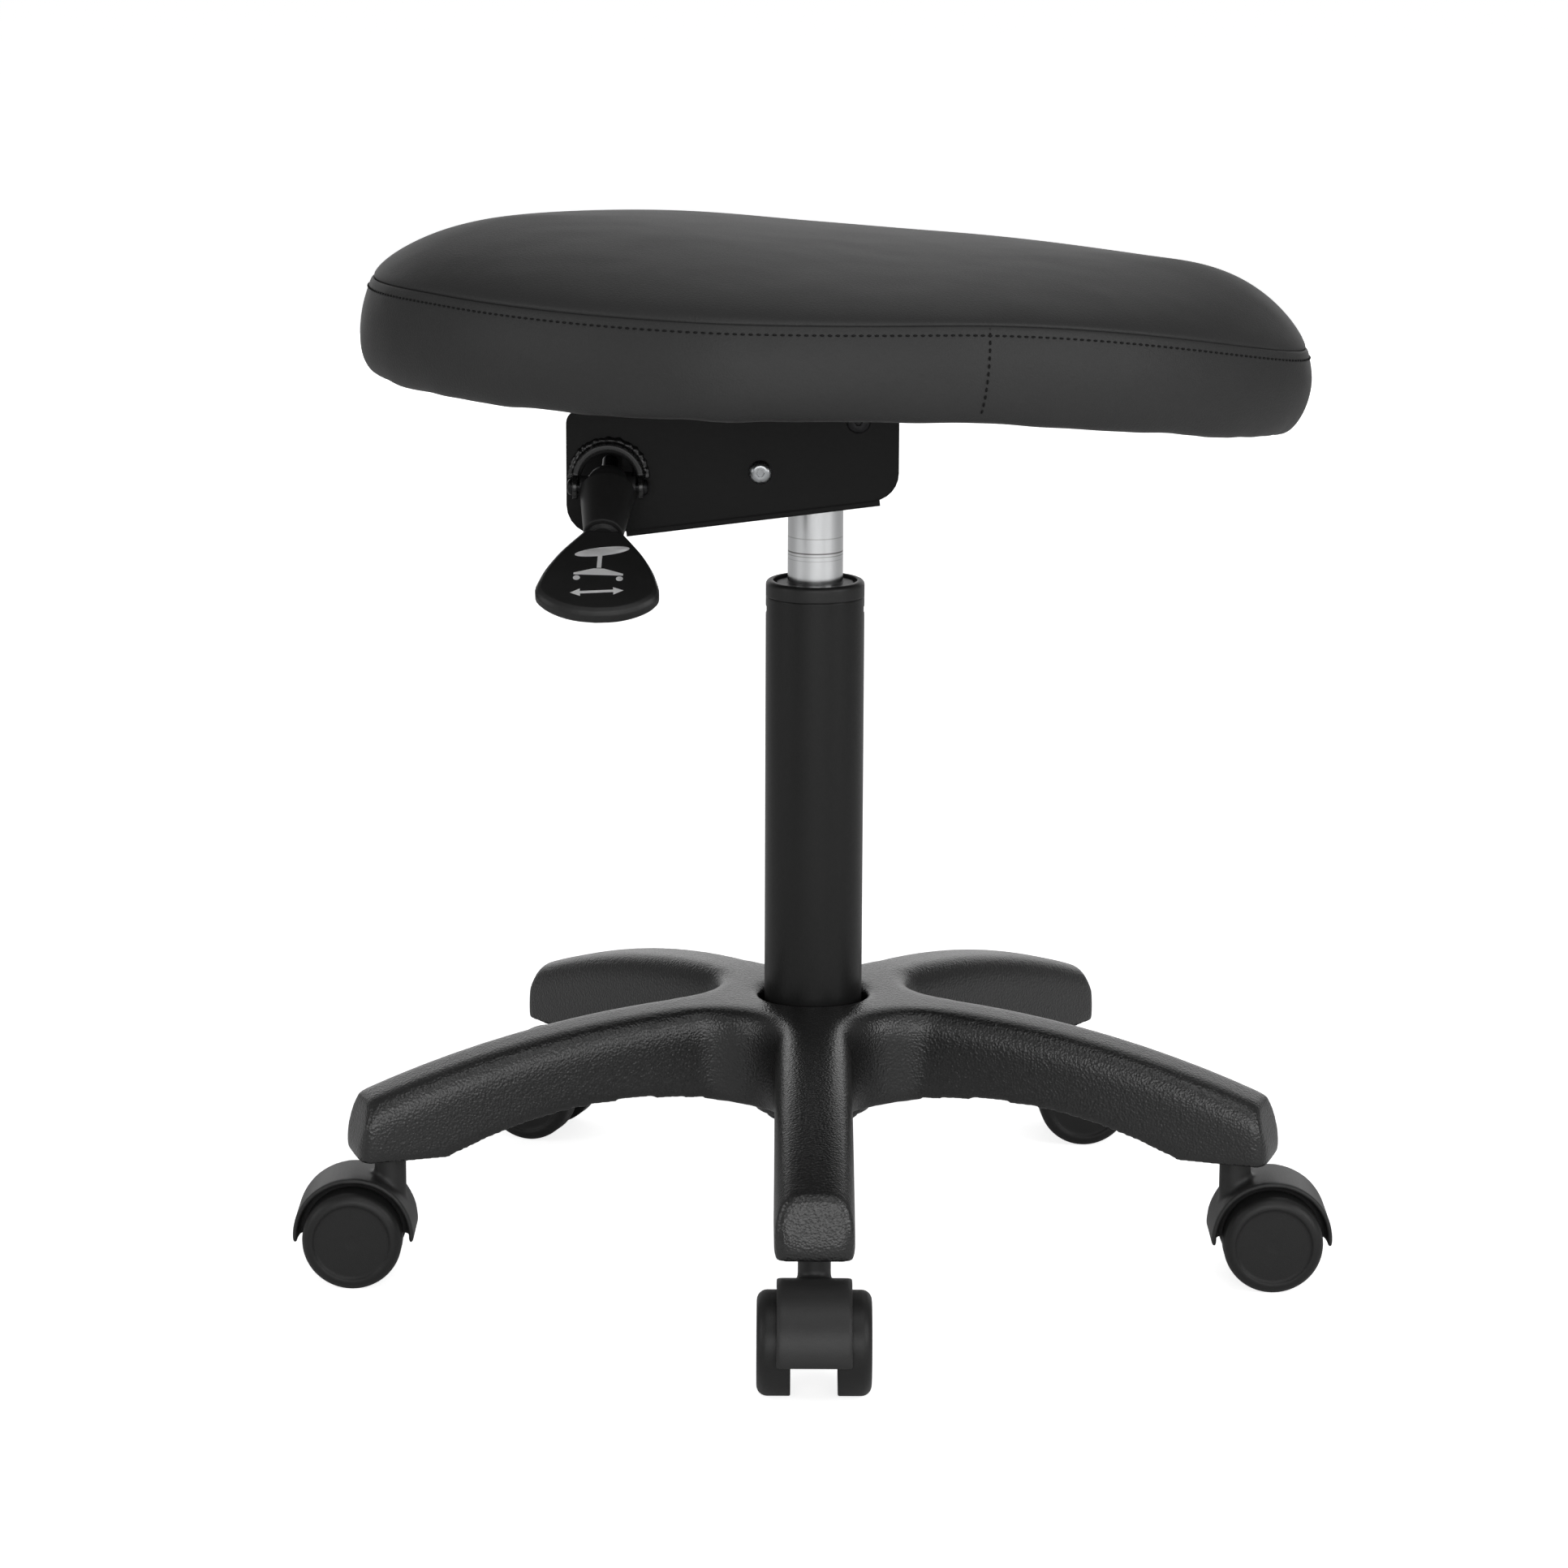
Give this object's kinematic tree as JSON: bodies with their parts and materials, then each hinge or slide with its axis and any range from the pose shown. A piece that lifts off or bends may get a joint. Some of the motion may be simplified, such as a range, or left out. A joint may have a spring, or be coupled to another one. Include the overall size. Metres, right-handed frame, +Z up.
{
  "type": "saddle stool",
  "caption": "Padded saddle seat on a tilting bracket with a hand lever, a gas lift column and a five-armed star base on swivelling twin-wheel casters.",
  "frame": {"origin": "on the column axis at floor level", "axes": "+Z up, +X towards the narrow nose of the seat, the lever is on the -Y side"},
  "size_m": [0.5228, 0.4925, 0.5293],
  "materials": {
    "moulded_nylon": "grained glass-filled nylon, satin",
    "black_tube": "satin black powder coat",
    "black_bracket": "satin black powder coat on pressed steel",
    "black_cap": "moulded acetal, fine satin",
    "ground_steel": "ground and polished rod steel",
    "zinc_steel": "bright zinc plated steel",
    "black_steel": "black oxide steel",
    "seat_vinyl": "fine grained upholstery vinyl, soft sheen",
    "seat_foam": "cold cured polyurethane foam, open cell",
    "seat_board": "moulded birch plywood, raw",
    "dust_cloth": "stapled black non-woven cloth",
    "lever_plastic": "moulded nylon, fine grain",
    "caster_nylon": "moulded nylon hood and wheel, satin"
  },
  "bodies": {
    "base": {"star_base": "moulded_nylon", "column_tube": "black_tube", "guide_bush": "black_cap", "tube_end_plate": "zinc_steel"},
    "gas_rod": {"piston_rod": "ground_steel", "piston": "zinc_steel", "thrust_bearing": "zinc_steel", "rod_clip": "zinc_steel"},
    "gas_cylinder": {"gas_cylinder": "ground_steel", "rod_guide": "black_cap", "lower_bracket": "black_bracket", "taper_socket": "black_bracket", "pivot_spacer": "zinc_steel", "pivot_bolt": "zinc_steel", "pivot_nut": "zinc_steel", "stop_bolt": "black_steel", "stop_nut": "black_steel", "lever_collar": "black_bracket", "lever_screws": "black_steel"},
    "valve_pin": {"valve_pin": "black_steel"},
    "seat": {"seat_bracket": "black_bracket", "seat_bolts": "zinc_steel", "seat_tnuts": "zinc_steel", "seat_board": "seat_board", "seat_foam": "seat_foam", "seat_cover": "seat_vinyl", "seat_band": "seat_vinyl", "dust_cover": "dust_cloth"},
    "lever": {"lever_sleeve": "lever_plastic", "valve_finger": "black_bracket"},
    "paddle": {"lever_shaft": "black_steel", "lever_paddle": "lever_plastic"},
    "caster_1": {"housing_1": "caster_nylon", "stem_1": "zinc_steel", "axle_1": "zinc_steel"},
    "wheel_1_left": {"wheel_1_left": "caster_nylon"},
    "wheel_1_right": {"wheel_1_right": "caster_nylon"},
    "caster_2": {"housing_2": "caster_nylon", "stem_2": "zinc_steel", "axle_2": "zinc_steel"},
    "wheel_2_left": {"wheel_2_left": "caster_nylon"},
    "wheel_2_right": {"wheel_2_right": "caster_nylon"},
    "caster_3": {"housing_3": "caster_nylon", "stem_3": "zinc_steel", "axle_3": "zinc_steel"},
    "wheel_3_left": {"wheel_3_left": "caster_nylon"},
    "wheel_3_right": {"wheel_3_right": "caster_nylon"},
    "caster_4": {"housing_4": "caster_nylon", "stem_4": "zinc_steel", "axle_4": "zinc_steel"},
    "wheel_4_left": {"wheel_4_left": "caster_nylon"},
    "wheel_4_right": {"wheel_4_right": "caster_nylon"},
    "caster_5": {"housing_5": "caster_nylon", "stem_5": "zinc_steel", "axle_5": "zinc_steel"},
    "wheel_5_left": {"wheel_5_left": "caster_nylon"},
    "wheel_5_right": {"wheel_5_right": "caster_nylon"}
  },
  "joints": [
    {"name": "seat_swivel", "type": "hinge", "parent": "base", "child": "gas_rod", "pos_m": [0, 0, 0.06], "axis": [0, 0, 1], "continuous": true},
    {"name": "seat_lift", "type": "slide", "parent": "gas_rod", "child": "gas_cylinder", "axis": [0, 0, 1], "range_m": [-0.025, 0.115]},
    {"name": "seat_tilt", "type": "hinge", "parent": "gas_cylinder", "child": "seat", "pos_m": [-0.0277, 0, 0.406], "axis": [0, 1, 0], "range_deg": [-4, 6]},
    {"name": "lever_lift", "type": "hinge", "parent": "gas_cylinder", "child": "lever", "pos_m": [-0.103, -0.041, 0.3995], "axis": [-1, 0, 0], "range_deg": [0, 9], "stiffness_Nm_per_rad": 0.5, "springref_deg": -34.38},
    {"name": "valve_press", "type": "slide", "parent": "gas_cylinder", "child": "valve_pin", "axis": [0, 0, 1], "range_m": [-0.0056, 0]},
    {"name": "tilt_lock", "type": "slide", "parent": "lever", "child": "paddle", "axis": [-0.0349, -0.8566, -0.5147], "range_m": [0, 0.008]},
    {"name": "swivel_1", "type": "hinge", "parent": "base", "child": "caster_1", "pos_m": [0, -0.224, 0.0645], "axis": [0, 0, 1], "continuous": true},
    {"name": "roll_1_left", "type": "hinge", "parent": "caster_1", "child": "wheel_1_left", "pos_m": [0, -0.242, 0.025], "axis": [-1, 0, 0], "continuous": true},
    {"name": "roll_1_right", "type": "hinge", "parent": "caster_1", "child": "wheel_1_right", "pos_m": [0, -0.242, 0.025], "axis": [-1, 0, 0], "continuous": true},
    {"name": "swivel_2", "type": "hinge", "parent": "base", "child": "caster_2", "pos_m": [0.21304, -0.06922, 0.0645], "axis": [0, 0, 1], "continuous": true},
    {"name": "roll_2_left", "type": "hinge", "parent": "caster_2", "child": "wheel_2_left", "pos_m": [0.23104, -0.06922, 0.025], "axis": [0, -1, 0], "continuous": true},
    {"name": "roll_2_right", "type": "hinge", "parent": "caster_2", "child": "wheel_2_right", "pos_m": [0.23104, -0.06922, 0.025], "axis": [0, -1, 0], "continuous": true},
    {"name": "swivel_3", "type": "hinge", "parent": "base", "child": "caster_3", "pos_m": [0.13166, 0.18122, 0.0645], "axis": [0, 0, 1], "continuous": true},
    {"name": "roll_3_left", "type": "hinge", "parent": "caster_3", "child": "wheel_3_left", "pos_m": [0.14962, 0.18247, 0.025], "axis": [0.0698, -0.9976, 0], "continuous": true},
    {"name": "roll_3_right", "type": "hinge", "parent": "caster_3", "child": "wheel_3_right", "pos_m": [0.14962, 0.18247, 0.025], "axis": [0.0698, -0.9976, 0], "continuous": true},
    {"name": "swivel_4", "type": "hinge", "parent": "base", "child": "caster_4", "pos_m": [-0.13166, 0.18122, 0.0645], "axis": [0, 0, 1], "continuous": true},
    {"name": "roll_4_left", "type": "hinge", "parent": "caster_4", "child": "wheel_4_left", "pos_m": [-0.14858, 0.18738, 0.025], "axis": [0.342, 0.9397, 0], "continuous": true},
    {"name": "roll_4_right", "type": "hinge", "parent": "caster_4", "child": "wheel_4_right", "pos_m": [-0.14858, 0.18738, 0.025], "axis": [0.342, 0.9397, 0], "continuous": true},
    {"name": "swivel_5", "type": "hinge", "parent": "base", "child": "caster_5", "pos_m": [-0.21304, -0.06922, 0.0645], "axis": [0, 0, 1], "continuous": true},
    {"name": "roll_5_left", "type": "hinge", "parent": "caster_5", "child": "wheel_5_left", "pos_m": [-0.23104, -0.06922, 0.025], "axis": [0, 1, 0], "continuous": true},
    {"name": "roll_5_right", "type": "hinge", "parent": "caster_5", "child": "wheel_5_right", "pos_m": [-0.23104, -0.06922, 0.025], "axis": [0, 1, 0], "continuous": true}
  ],
  "couplings": [
    {"joint": "valve_press", "follows": "lever_lift", "m_per_rad": -0.035}
  ]
}
